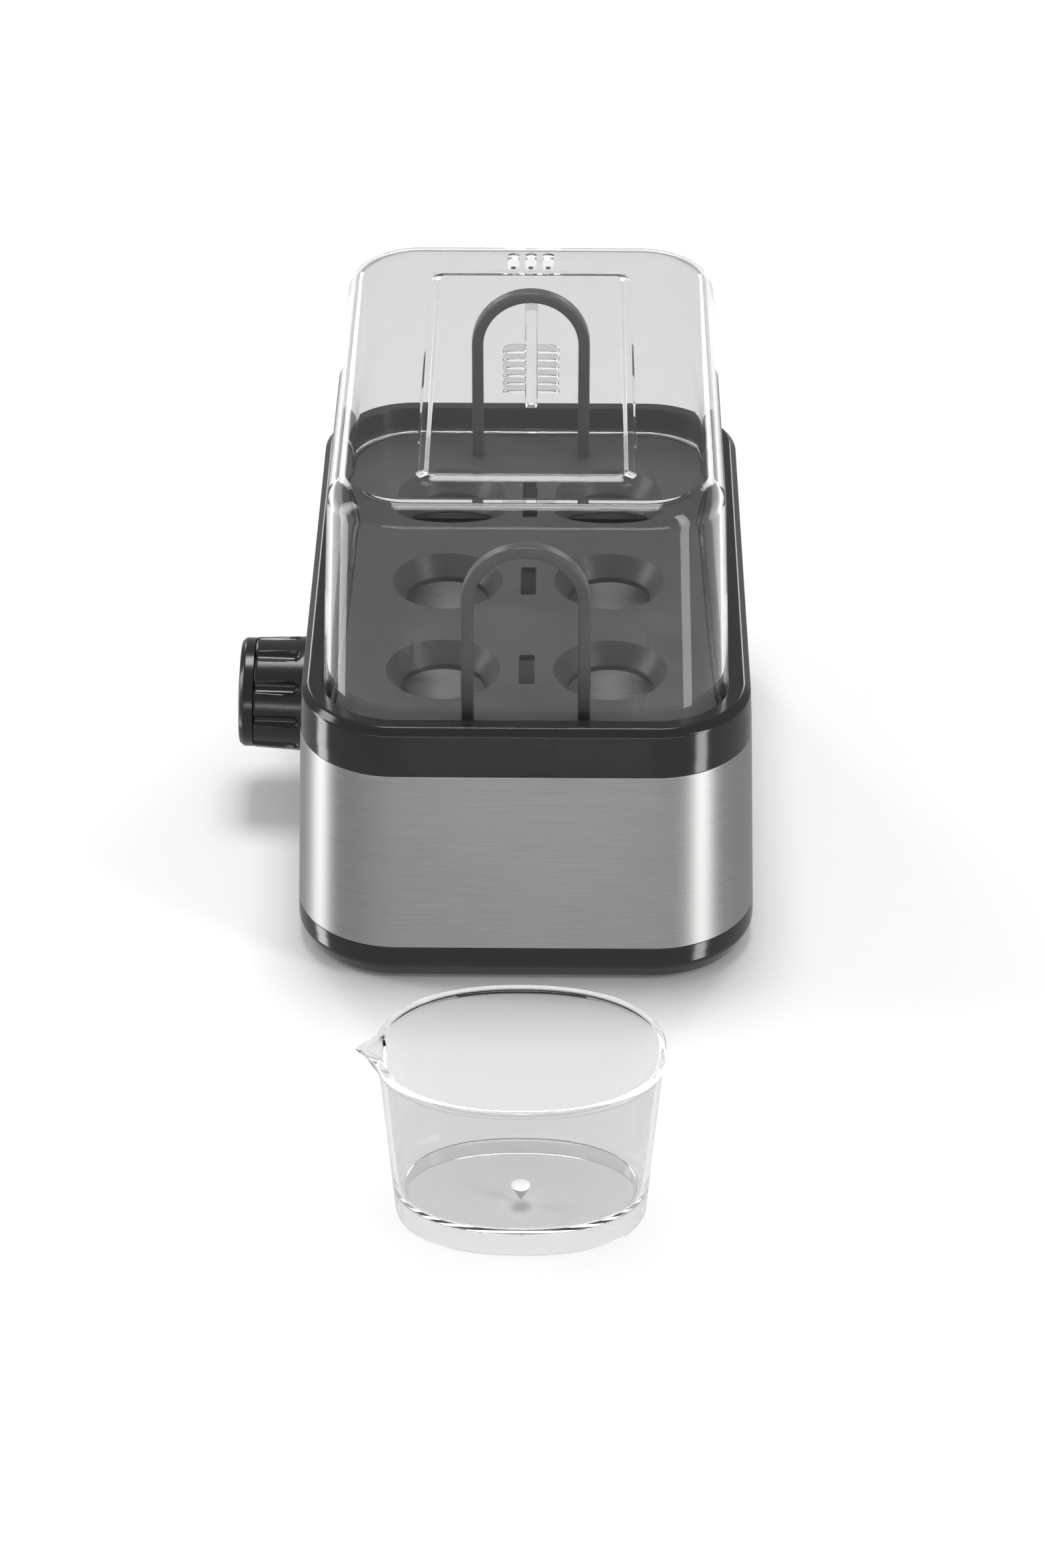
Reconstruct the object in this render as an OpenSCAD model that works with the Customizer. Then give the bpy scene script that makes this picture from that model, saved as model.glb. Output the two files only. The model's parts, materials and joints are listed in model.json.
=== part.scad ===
// Egg cooker for six eggs: steel-clad base, lift-out rack, clear lid, control knob and measuring cup.
// The origin is the centre of the base's footprint on the table. +Z is up, the cup stands towards -Y.

/* [Housing] */
// Width of the housing at the lower edge of the steel band
body_w = 160; // [150:1:170]
// Length of the housing at the lower edge of the steel band
body_l = 245; // [235:1:255]
// Corner radius of the housing in plan
body_r = 36; // [30:1:38]
// Draft of the side walls, in degrees, wider at the bottom
body_draft = 1.9; // [1:0.1:3]
// Height of the steel band's lower edge
band_low = 15; // [14:0.5:18]
// Height of the steel band's upper edge
band_high = 83.5; // [80:0.5:90]
// Thickness of the steel band
band_t = 0.8; // [0.5:0.1:1]
// Height of the rim's outer edge
rim_edge = 99.7; // [97:0.1:102]
// Width of the flat and rounded top of the rim
rim_lip = 7.2; // [6:0.1:9]
// Wall thickness of the moulded casings
casing_t = 2.4; // [2:0.1:3]

/* [Lid] */
// Width of the lid's skirt
lid_w = 138.8; // [130:0.1:139]
// Length of the lid's skirt
lid_l = 223.8; // [215:0.1:224]
// Corner radius of the lid in plan
lid_r = 27; // [22:1:30]
// Draft of the lid's walls, in degrees
lid_draft = 2.2; // [1:0.1:3]
// Height of the lid's top at the front end
lid_front_z = 180.3; // [175:0.1:185]
// Height of the lid's top at the rear end
lid_rear_z = 174.3; // [172:0.1:180]
// Rounding between the lid's walls and its top
lid_edge_r = 9.3; // [6:0.1:12]
// Wall thickness of the lid
lid_t = 2.2; // [1.8:0.1:3]

/* [Rack] */
// Distance between the two columns of eggs
egg_pitch_x = 58.4; // [54:0.1:60]
// Distance between the three rows of eggs
egg_pitch_y = 61.9; // [58:0.1:64]
// Radius of the hole under each egg
egg_hole_r = 15; // [11:0.5:15]
// Outer width of the rack's handles
handle_w = 44; // [40:1:48]
// Height of the top of the handles
handle_top = 159.5; // [140:0.5:162]
// Distance of each handle from the middle of the rack
handle_y = 94.5; // [92:0.5:98]

/* [Knob] */
// Height of the knob's axis at the wall
knob_z = 43.2; // [42:0.1:45]
// Radius of the knob at the wall
knob_wall_r = 21; // [19:0.5:22]
// Radius of the knob at its cap
knob_cap_r = 20; // [18:0.5:21]
// Number of finger grooves around the knob
knob_grooves = 10; // [8:1:12]
// Radius of the control's shaft
shaft_r = 3; // [2.5:0.1:3.5]

/* [Measuring cup] */
// Distance of the cup's middle in front of the housing's middle
cup_y = 246; // [240:1:300]
// Height of the cup
cup_h = 62; // [55:1:70]
// Width and length of the cup's mouth
cup_mouth = [91, 69]; // [60:1:100]
// Width and length of the cup's foot
cup_foot = [81, 55]; // [50:1:90]
// Wall thickness of the cup
cup_t = 1.8; // [1.4:0.1:2.4]
// Height of the cup's floor above the table
cup_floor = 9.2; // [7:0.1:12]

/* [Hidden] */
$fn = 64;
gap = 0.3;
taper = tan(body_draft);

// Base pan
pan_low = 1.5;
pan_chamfer_z = 7.6;
pan_chamfer = 3.2;
pan_floor = 5.5;
lip_h = 5;
lip_inset = 1;
lip_inner = casing_t + 0.2;

// Rim, groove for the lid and ledge for the bowl
rim_top = rim_edge + 1.7;
rim_round = 2.45;
groove_z = 91.5;
ledge_z = 87;
ledge_t = 2.5;
opening_w = 2 * (half_w(rim_top) - rim_lip);
opening_l = 2 * (half_l(rim_top) - rim_lip);
groove_w = 3.6;
ledge_w = 4.3;

// Screws that hold the base pan to the rim's columns
column_at = [62.5, 104.5];
column_r = 4;
screw_r = 1.5;

// Bowl and what hangs under it
gasket_t = 1.2;
sheet_t = 0.8;
bowl_floor = 62;
spreader_t = 3;
spreader_z = bowl_floor - sheet_t - spreader_t;
tube_r = 3.2;
tube_ring_r = 34;
bracket_z = spreader_z - 2 * tube_r;
bracket_t = 1.2;
stud_x = 22;
stud_r = 2;
shield_z = 30;
shield_size = [104, 150];
shield_post = [44, 62];

// Rack
tray_t = 2.2;
tray_z = ledge_z + gasket_t + sheet_t + gap;
tray_top = tray_z + tray_t;
seat_depth = 9;
seat_r = 20;
handle_t = 4.3;
handle_d = 5.3;
leg_x = (handle_w - handle_t) / 2;
tenon = [3.3, 4.3, 5];

// Lid
lid_low = groove_z + gap;
lid_straight = rim_top;
lid_slope = (lid_front_z - lid_rear_z) / (lid_l - 10);
lid_mid_z = (lid_front_z + lid_rear_z) / 2;
panel_h = 1.2;
panel_front = -88;
panel_rear = 81;
panel_w = 74;
panel_r = 6;
vent_w = 4.2;
vent_pitch = 6.4;
vent_y = [85, 97];
fin_count = 6;
fin_low = 108.6;
fin_pitch = 3.38;
fin_w = 21.5;
fin_d = 6.3;
fin_r = 4;
fin_t = 1.1;
spine_w = 4.7;
spine_z = [102, 144];

// Control and knob, along the axis that stands square to the wall
collar_r = 5;
control_size = [32, 32, 20];
grip_from = 1;
grip_to = 20.7;
cap_to = 26.8;
groove_r = 2.5;
hub_r = 6;

// Mains entry at the rear
cord_z = 9.2;
cord_r = 3.4;
gland_r = 4.5;
gland_y = body_l / 2 + 0.8;
clamp_y = 104;
foot_at = [50, 90];

// Half width and half length of the housing at height z
function half_w(z) = body_w / 2 - (z - band_low) * taper;
function half_l(z) = body_l / 2 - (z - band_low) * taper;
function corner(z) = body_r - (z - band_low) * taper;
// Point on a cubic Bezier curve
function bezier(p, t) = pow(1 - t, 3) * p[0] + 3 * pow(1 - t, 2) * t * p[1]
    + 3 * (1 - t) * t * t * p[2] + t * t * t * p[3];
function unit(v) = v / norm(v);
// Point on an oval between an ellipse and a rounded rectangle
function oval(size, power, a) = [
    size[0] / 2 * sign(cos(a)) * pow(abs(cos(a)), 2 / power),
    size[1] / 2 * sign(sin(a)) * pow(abs(sin(a)), 2 / power)
];

module four(at) {
    for (x = [-1, 1], y = [-1, 1]) translate([x * at[0], y * at[1], 0]) children();
}

module rounded(w, l, r) {
    square([w - 2 * r, l], center = true);
    square([w, l - 2 * r], center = true);
    four([w / 2 - r, l / 2 - r]) circle(r);
}

// Plain rounded slab between two heights
module slab(w, l, r, z0, z1) {
    translate([0, 0, z0]) linear_extrude(z1 - z0) rounded(w, l, r);
}

// Solid that follows the housing's drafted walls, through levels of [height, inset from the wall]
module drafted(levels) {
    skin = 0.01;
    top = levels[len(levels) - 1][0];
    hull() for (p = levels) {
        z = min(p[0], top - skin);
        slab(2 * (half_w(z) - p[1]), 2 * (half_l(z) - p[1]), corner(z) - p[1], z, z + skin);
    }
}

// Ring along the housing's walls, between two insets
module drafted_ring(z0, z1, outer, inner) {
    difference() {
        drafted([[z0, outer], [z1, outer]]);
        drafted([[z0 - 1, inner], [z1 + 1, inner]]);
    }
}

module at_knob() {
    translate([-half_w(knob_z), 0, knob_z]) rotate([0, body_draft - 90, 0]) children();
}

module screw(head_r, head_h, length) {
    cylinder(r = head_r, h = head_h, $fn = 32);
    cylinder(r = screw_r, h = length, $fn = 32);
}

module base_pan() {
    pad = [18, 12, band_low - pan_low];
    color("#262626") difference() {
        union() {
            difference() {
                union() {
                    drafted([[pan_low, pan_chamfer], [pan_chamfer_z, 0], [band_low, 0]]);
                    drafted([[band_low - 1, lip_inset], [band_low + lip_h, lip_inset]]);
                }
                drafted([[pan_floor, casing_t + 2], [pan_chamfer_z + 1, lip_inner],
                    [band_low + lip_h + 1, lip_inner]]);
            }
            four(column_at) cylinder(r = 5.4, h = band_low + lip_h - gap);
            four(shield_post) translate([0, 0, pan_floor - 1])
                cylinder(r = 4, h = shield_z - pan_floor + 1, $fn = 48);
            for (x = [-10, 10]) translate([x, clamp_y, pan_floor - 1]) cylinder(r = 3.4, h = 5, $fn = 32);
            translate([-pad[0] / 2, gland_y - pad[1], pan_low]) cube(pad);
        }
        translate([0, 0, -1]) cube([2 * body_w, 2 * body_l, 2 * pan_low + 2], center = true);
        four(column_at) translate([0, 0, -1]) cylinder(r = 1.9, h = 30, $fn = 32);
        four(column_at) translate([0, 0, -1]) cylinder(r = 3.8, h = pan_low + 4, $fn = 32);
        four(shield_post) translate([0, 0, shield_z - 10]) cylinder(r = 1.3, h = 12, $fn = 32);
        for (x = [-10, 10]) translate([x, clamp_y, pan_floor + 0.5]) cylinder(r = 1.3, h = 8, $fn = 32);
        four(foot_at) translate([0, 0, -1]) cylinder(r = 7.6, h = pan_low + 2.2, $fn = 48);
        translate([0, gland_y + 1, cord_z]) rotate([90, 0, 0]) cylinder(r = gland_r + 0.1, h = 14, $fn = 48);
        for (y = [-40:8:40]) translate([-18, y - 1.5, 0]) cube([36, 3, 10]);
    }
}

module foot(x, y) {
    color("#1b1b1b") translate([x * foot_at[0], y * foot_at[1], 0]) {
        cylinder(r1 = 6.4, r2 = 7.4, h = 1, $fn = 48);
        translate([0, 0, 1]) cylinder(r = 7.4, h = pan_low + 0.1, $fn = 48);
    }
}

module steel_band() {
    color("#b9b9b7") difference() {
        drafted_ring(band_low, band_high, 0, band_t);
        at_knob() translate([0, 0, -5]) cylinder(r = collar_r + 0.3, h = 10, $fn = 48);
    }
}

module upper_rim() {
    color("#262626") difference() {
        union() {
            drafted([[band_high, 0], [rim_edge, 0], [rim_top, rim_round]]);
            drafted_ring(band_high - 6.5, band_high + 1, lip_inset, lip_inner);
            four(column_at) translate([0, 0, band_low + lip_h])
                cylinder(r = column_r, h = ledge_z - band_low - lip_h - 1, $fn = 48);
        }
        slab(opening_w, opening_l, lid_r, groove_z, rim_top + 1);
        slab(opening_w - 2 * groove_w, opening_l - 2 * groove_w, lid_r - groove_w, ledge_z, rim_top + 1);
        slab(opening_w - 2 * (groove_w + ledge_w), opening_l - 2 * (groove_w + ledge_w),
            lid_r - groove_w - ledge_w, band_high - 1, rim_top + 1);
        drafted_ring(band_high - 0.5, rim_edge - 1.4, lip_inner, rim_lip - 2.2);
        difference() {
            drafted([[band_high - 1, rim_lip - 2.6], [ledge_z - ledge_t, rim_lip - 2.6]]);
            four(column_at) translate([0, 0, band_high - 2]) cylinder(r = column_r, h = 20, $fn = 48);
        }
        four(column_at) translate([0, 0, band_low]) cylinder(r = screw_r + 0.1, h = 24, $fn = 32);
    }
}

module base_screws() {
    color("#8d8d8d") four(column_at) translate([0, 0, pan_low + 0.8]) screw(3.2, 2.2, 34);
}

module bowl_gasket() {
    w = opening_w - 2 * groove_w;
    l = opening_l - 2 * groove_w;
    r = lid_r - groove_w;
    color("#5a5a5a") difference() {
        slab(w - 0.4, l - 0.4, r - 0.2, ledge_z, ledge_z + gasket_t);
        slab(w - 2 * ledge_w + 0.6, l - 2 * ledge_w + 0.6, r - ledge_w + 0.3, ledge_z - 1,
            ledge_z + 3);
    }
}

module water_bowl() {
    w = opening_w - 2 * groove_w - 0.4;
    l = opening_l - 2 * groove_w - 0.4;
    r = lid_r - groove_w - 0.2;
    flange = ledge_w + 1.2;
    flange_z = ledge_z + gasket_t;
    color("#c9c9c7") difference() {
        union() {
            slab(w, l, r, flange_z, flange_z + sheet_t);
            slab(w - 2 * flange, l - 2 * flange, r - flange, bowl_floor - sheet_t, flange_z + 0.1);
        }
        slab(w - 2 * flange - 2 * sheet_t, l - 2 * flange - 2 * sheet_t, r - flange - sheet_t,
            bowl_floor, flange_z + 3);
    }
}

module heat_spreader() {
    color("#d5d5d5") {
        translate([0, 0, spreader_z]) cylinder(r = 46, h = spreader_t);
        for (x = [-stud_x, stud_x]) translate([x, 0, bracket_z - 6])
            cylinder(r = stud_r, h = 2 * tube_r + 6.5, $fn = 32);
    }
}

module heater_tube() {
    open = 25;
    color("#7d7f80") {
        translate([0, 0, spreader_z - tube_r]) rotate([0, 0, open - 90])
            rotate_extrude(angle = 360 - 2 * open) translate([tube_ring_r, 0]) circle(tube_r, $fn = 32);
        for (side = [-1, 1]) rotate([0, 0, side * open - 90])
            translate([tube_ring_r, 0, bracket_z - 8]) cylinder(r = 2, h = 8 + tube_r, $fn = 32);
    }
}

module thermostat() {
    color("#d8d2c4") {
        translate([0, 0, bracket_z]) cylinder(r = 8, h = 2 * tube_r, $fn = 48);
        for (y = [-7, 7]) translate([-1.5, y - 0.4, bracket_z - 6]) cube([3, 0.8, 7]);
    }
}

module thermal_fuse() {
    color("#e6e1d6") translate([-8, 16, spreader_z - 2.3]) rotate([0, 90, 0])
        cylinder(r = 2.2, h = 16, $fn = 32);
}

module heater_bracket() {
    arm = tube_ring_r + 4;
    color("#a9a9a9") difference() {
        translate([-arm, -6, bracket_z - bracket_t]) cube([2 * arm, 12, bracket_t]);
        for (x = [-stud_x, stud_x]) translate([x, 0, bracket_z - 5])
            cylinder(r = stud_r + 0.2, h = 10, $fn = 32);
    }
}

module bracket_nuts() {
    color("#b5b5b5") for (x = [-stud_x, stud_x]) translate([x, 0, bracket_z - bracket_t - 3.2]) difference() {
        cylinder(r = 4, h = 3.2, $fn = 6);
        translate([0, 0, -1]) cylinder(r = stud_r + 0.05, h = 6, $fn = 32);
    }
}

module heat_shield() {
    wall = 6;
    color("#bdbdbd") difference() {
        slab(shield_size[0], shield_size[1], 8, shield_z, shield_z + wall);
        slab(shield_size[0] - 2 * sheet_t, shield_size[1] - 2 * sheet_t, 8 - sheet_t, shield_z + sheet_t,
            shield_z + wall + 1);
        four(shield_post) translate([0, 0, shield_z - 1]) cylinder(r = 1.7, h = 4, $fn = 32);
    }
}

module shield_screws() {
    color("#8d8d8d") four(shield_post) translate([0, 0, shield_z + sheet_t]) {
        cylinder(r = 2.8, h = 1.8, $fn = 32);
        translate([0, 0, -8]) cylinder(r = 1.2, h = 8.5, $fn = 32);
    }
}

module control_body() {
    back = -band_t - 0.2;
    color("#d9d6cf") at_knob() difference() {
        union() {
            translate([-control_size[0] / 2, -control_size[1] / 2, back - control_size[2]])
                cube(control_size);
            translate([0, 0, back - 1]) cylinder(r = collar_r, h = 1 - back + 3.4, $fn = 48);
        }
        translate([0, 0, back - 14]) cylinder(r = shaft_r + 0.08, h = 40, $fn = 48);
    }
}

module control_nut() {
    color("#b5b5b5") at_knob() difference() {
        translate([0, 0, 0.1]) cylinder(r = 8, h = 2.2, $fn = 6);
        translate([0, 0, -1]) cylinder(r = collar_r + 0.05, h = 6, $fn = 48);
    }
}

module control_shaft() {
    color("#cfcfcf") at_knob() translate([0, 0, -13]) cylinder(r = shaft_r, h = 31, $fn = 48);
}

// Outline of the knob's grip, from its axis outwards
module grip_profile() {
    shell = 2.6;
    difference() {
        polygon([[0, grip_from], [knob_wall_r, grip_from], [knob_cap_r, grip_to], [0, grip_to]]);
        polygon([[hub_r, grip_from - 1], [knob_wall_r - shell, grip_from - 1],
            [knob_cap_r - shell, grip_to - 2], [hub_r, grip_to - 2]]);
        square([shaft_r + 0.02, 18.3]);
        square([hub_r + 3, 4.2]);
    }
}

module knob_grip() {
    color("#242424") at_knob() difference() {
        rotate_extrude() grip_profile();
        for (i = [0 : knob_grooves - 1]) rotate([0, 0, (i + 0.5) * 360 / knob_grooves])
            translate([knob_cap_r + 1.3, 0, 6.5]) {
                sphere(groove_r, $fn = 32);
                cylinder(r = groove_r, h = 20, $fn = 32);
            }
    }
}

module knob_cap() {
    edge = 1.8;
    dome = 0.9;
    color("#242424") at_knob() rotate_extrude() polygon(concat(
        [[0, grip_to + 0.1], [knob_cap_r, grip_to + 0.1]],
        [for (a = [0:15:75]) [knob_cap_r - 0.3 - edge * (1 - cos(a)), cap_to - dome - edge * (1 - sin(a))]],
        [for (i = [0:6]) let (u = 1 - i / 6) [(knob_cap_r - 0.3 - edge) * u, cap_to - dome * u * u]]
    ));
}

module terminal_block() {
    color("#e4e0d2") translate([-16, 78, pan_floor]) difference() {
        cube([32, 14, 11]);
        for (i = [0:2]) translate([6 + 10 * i, -1, 6]) rotate([-90, 0, 0]) cylinder(r = 2, h = 16, $fn = 24);
    }
}

module cord_gland() {
    color("#1e1e1e") translate([0, gland_y, cord_z]) rotate([90, 0, 0]) difference() {
        union() {
            translate([0, 0, -2]) cylinder(r = gland_r + 1.3, h = 2, $fn = 48);
            cylinder(r = gland_r, h = 12.8, $fn = 48);
        }
        translate([0, 0, -3]) cylinder(r = cord_r, h = 20, $fn = 48);
    }
}

module cord_clamp() {
    color("#303030") translate([0, clamp_y, pan_floor + 4]) difference() {
        translate([-13.4, -3.4, 0]) cube([26.8, 6.8, 4.6]);
        translate([0, 5, cord_z - pan_floor - 4]) rotate([90, 0, 0]) cylinder(r = cord_r, h = 10, $fn = 48);
        for (x = [-10, 10]) translate([x, 0, -1]) cylinder(r = 1.6, h = 8, $fn = 32);
    }
}

module clamp_screws() {
    color("#8d8d8d") for (x = [-10, 10]) translate([x, clamp_y, pan_floor + 8.6]) {
        cylinder(r = 2.6, h = 1.8, $fn = 32);
        translate([0, 0, -7.8]) cylinder(r = 1.2, h = 8, $fn = 32);
    }
}

// Insulated lead swept along a Bezier curve
module lead(p, shade) {
    r = 1.2;
    rings = 20;
    sides = 8;
    side_ref = [0.31, 0.17, 0.93];
    function ring(t) = let (
        d = unit(bezier(p, min(1, t + 0.01)) - bezier(p, max(0, t - 0.01))),
        n = unit(cross(d, side_ref)), b = cross(d, n)
    ) [for (k = [0 : sides - 1]) bezier(p, t) + r * (cos(k * 360 / sides) * n + sin(k * 360 / sides) * b)];
    points = [for (i = [0:rings]) each ring(i / rings)];
    walls = [for (i = [0 : rings - 1], k = [0 : sides - 1])
        [i * sides + k, i * sides + (k + 1) % sides, (i + 1) * sides + (k + 1) % sides, (i + 1) * sides + k]];
    start = [for (k = [0 : sides - 1]) sides - 1 - k];
    end = [for (k = [0 : sides - 1]) rings * sides + k];
    color(shade) polyhedron(points, concat([start, end], walls), convexity = 4);
}

module lead_live() {
    lead([[-10, 77.5, 11.5], [-10, 50, 11.5], [-66, 60, 14], [-64, 17.5, 34]], "#6b4a2c");
}

module lead_switched() {
    lead([[-64, -17.5, 34], [-64, -50, 40], [-14.4, -60, 48], [-14.4, -32.6, 41]], "#202020");
}

module lead_neutral() {
    lead([[0, 77.5, 11.5], [0, 58, 11.5], [66, 66, 10], [61, 30, 44]], "#2d5f9e");
}

module lead_fused() {
    lead([[61, 28, 46], [50, 20, 42], [24, 16, 44], [9, 16, 55.9]], "#2d5f9e");
}

module lead_earth() {
    lead([[10, 77.5, 11.5], [10, 60, 11.5], [55, 84, 20], [55, 84, 60.6]], "#7aa63a");
}

module egg_tray() {
    w = opening_w - 2 * groove_w - 0.6;
    l = opening_l - 2 * groove_w - 0.6;
    r = lid_r - groove_w - 0.3;
    color("#3b3b3a") difference() {
        union() {
            slab(w, l, r, tray_z, tray_top);
            for (x = [-0.5, 0.5], y = [-1, 0, 1])
                translate([x * egg_pitch_x, y * egg_pitch_y, tray_top - seat_depth])
                    cylinder(r1 = seat_r - 3, r2 = seat_r + 2, h = seat_depth);
        }
        for (x = [-0.5, 0.5], y = [-1, 0, 1]) translate([x * egg_pitch_x, y * egg_pitch_y, 0]) {
            translate([0, 0, tray_top - seat_depth + 2])
                cylinder(r1 = seat_r - 5, r2 = seat_r, h = seat_depth - 2 + 0.01);
            cylinder(r = egg_hole_r, h = tray_top);
        }
        for (y = [-1, 0, 1]) translate([-2.75, y * egg_pitch_y - 9.9, tray_z - 1]) cube([5.5, 19.8, 5]);
        for (x = [-1, 1], y = [-handle_y, handle_y])
            translate([x * leg_x - tenon[0] / 2 - 0.1, y - tenon[1] / 2 - 0.1, tray_z - 1])
                cube([tenon[0] + 0.2, tenon[1] + 0.2, 5]);
    }
}

// Upright handle: two legs and a round crown, with tenons that clip into the tray
module handle(y) {
    crown_r = handle_w / 2;
    crown_z = handle_top - crown_r;
    color("#3b3b3a") translate([0, y, 0]) {
        translate([0, handle_d / 2, crown_z]) rotate([90, 0, 0]) difference() {
            cylinder(r = crown_r, h = handle_d);
            translate([0, 0, -1]) cylinder(r = crown_r - handle_t, h = handle_d + 2);
            translate([-crown_r - 1, -2 * crown_r, -1]) cube([2 * crown_r + 2, 2 * crown_r, handle_d + 2]);
        }
        for (x = [-1, 1]) translate([x * leg_x, 0, 0]) {
            translate([-handle_t / 2, -handle_d / 2, tray_top])
                cube([handle_t, handle_d, crown_z - tray_top]);
            translate([-tenon[0] / 2, -tenon[1] / 2, tray_top - tenon[2]])
                cube([tenon[0], tenon[1], tenon[2] + 0.1]);
        }
    }
}

// Solid inside the lid's outer surface, or inside its inner surface when set in by t
module lid_body(t, low) {
    rise = lid_mid_z - lid_edge_r - lid_straight;
    drop = rise * tan(lid_draft);
    w = lid_w - 2 * t;
    l = lid_l - 2 * t;
    r = lid_edge_r - t;
    hull() {
        slab(w, l, lid_r - t, low, lid_straight);
        for (a = [0:22.5:90])
            multmatrix([[1, 0, 0, 0], [0, 1, 0, 0], [0, -lid_slope, 1, 0], [0, 0, 0, 1]])
                slab(w - 2 * drop - 2 * r * (1 - cos(a)), l - 2 * drop - 2 * r * (1 - cos(a)),
                    lid_r - t - r * (1 - cos(a)), lid_mid_z - lid_edge_r + r * sin(a) - 0.01,
                    lid_mid_z - lid_edge_r + r * sin(a));
    }
}

// Shallow raised panel on the lid's top
module lid_panel(t) {
    mid = (panel_front + panel_rear) / 2;
    l = panel_rear - panel_front;
    multmatrix([[1, 0, 0, 0], [0, 1, 0, mid], [0, -lid_slope, 1, -lid_slope * mid], [0, 0, 0, 1]]) hull() {
        slab(panel_w - 2 * t, l - 2 * t, panel_r, lid_mid_z - 1 - t, lid_mid_z - 0.5 - t);
        slab(panel_w - 6 - 2 * t, l - 6 - 2 * t, panel_r - 2, lid_mid_z + panel_h - 0.1 - t,
            lid_mid_z + panel_h - t);
    }
}

module lid_vent(x) {
    r = vent_w / 2;
    for (y = [vent_y[0] + r, vent_y[1] - r])
        translate([x, y, lid_mid_z - 15]) cylinder(r = r, h = 30, $fn = 32);
    translate([x - r, vent_y[0] + r, lid_mid_z - 15]) cube([vent_w, vent_y[1] - vent_y[0] - vent_w, 30]);
}

// Grip moulded on the lid's rear wall: an upright spine with a stack of level fins
module lid_grip() {
    wall_y = lid_l / 2 - 1.6;
    lean = (fin_low - lid_straight + fin_count * fin_pitch / 2) * tan(lid_draft);
    r = fin_r;
    translate([0, wall_y - lean, 0]) {
        for (i = [0 : fin_count - 1]) translate([0, 0, fin_low + i * fin_pitch]) linear_extrude(fin_t) {
            translate([-fin_w / 2 + r, 0]) square([fin_w - 2 * r, fin_d + 0.8]);
            translate([-fin_w / 2, 0]) square([fin_w, fin_d + 0.8 - r]);
            for (x = [-1, 1]) translate([x * (fin_w / 2 - r), fin_d + 0.8 - r]) circle(r, $fn = 48);
        }
        translate([-spine_w / 2, 0, spine_z[0]]) cube([spine_w, fin_d + 1.4, spine_z[1] - spine_z[0]]);
    }
}

module lid() {
    color([0.86, 0.87, 0.88, 0.35]) difference() {
        union() {
            lid_body(0, lid_low);
            lid_panel(0);
            lid_grip();
        }
        lid_body(lid_t, lid_low - 1);
        lid_panel(lid_t);
        for (i = [-1, 0, 1]) lid_vent(i * vent_pitch);
    }
}

// Oval slab of the cup with sides that lean out towards the top
module cup_solid(low, high, z0, z1) {
    points = 72;
    spread = [high[0] / low[0], high[1] / low[1]];
    translate([0, 0, z0]) linear_extrude(z1 - z0, slices = 1, segments = 0, scale = spread)
        polygon([for (i = [0 : points - 1]) oval(low, 2.25, i * 360 / points)]);
}

module cup_spout(t) {
    tip = cup_mouth[0] / 2 + 6.5;
    hull() {
        translate([-tip + 1.5 * t, 0, cup_h - 2]) cylinder(r = 1, h = 2 + t, $fn = 24);
        translate([-cup_mouth[0] / 2 + 2 + t, 0, cup_h - 15]) cylinder(r = 1, h = 1, $fn = 24);
        for (y = [-1, 1]) translate([-cup_mouth[0] / 2 + 5, y * (12 - t), cup_h - 2])
            cylinder(r = 1, h = 2 + t, $fn = 24);
    }
}

module measuring_cup() {
    inner = [2 * cup_t, 2 * cup_t];
    bead = [2, 2];
    color([0.86, 0.87, 0.88, 0.35]) translate([0, -cup_y, 0]) difference() {
        union() {
            cup_solid(cup_foot, cup_mouth, 0, cup_h);
            cup_solid(cup_mouth + bead * 0.6, cup_mouth + bead, cup_h - 2.4, cup_h);
            cup_spout(0);
        }
        cup_solid(cup_foot - inner, cup_mouth - inner, cup_floor, cup_h + 0.01);
        cup_spout(cup_t * 0.7);
        translate([0, 0, -0.01]) cup_solid(cup_foot - inner, cup_foot - inner + [1, 1], 0, cup_floor - cup_t);
    }
}

module piercing_pin() {
    top = cup_floor - cup_t;
    color("#cfd0d2") translate([0, -cup_y, top - 6.1]) cylinder(r1 = 0.15, r2 = 3.2, h = 6, $fn = 32);
}

base_pan();
foot(-1, -1);  // foot_1
foot(1, -1);  // foot_2
foot(-1, 1);  // foot_3
foot(1, 1);  // foot_4
steel_band();
upper_rim();
base_screws();
bowl_gasket();
water_bowl();
heat_spreader();
heater_tube();
thermostat();
thermal_fuse();
heater_bracket();
bracket_nuts();
heat_shield();
shield_screws();
control_body();
control_nut();
control_shaft();
knob_grip();
knob_cap();
terminal_block();
cord_gland();
cord_clamp();
clamp_screws();
lead_live();
lead_neutral();
lead_switched();
lead_fused();
lead_earth();
egg_tray();
handle(-handle_y);  // front_handle
handle(handle_y);  // rear_handle
lid();
measuring_cup();
piercing_pin();
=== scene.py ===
import json
from math import pi, sin, cos, tan, asin, sqrt, hypot, copysign, radians

import bpy
import bmesh
from mathutils import Matrix, Vector


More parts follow.
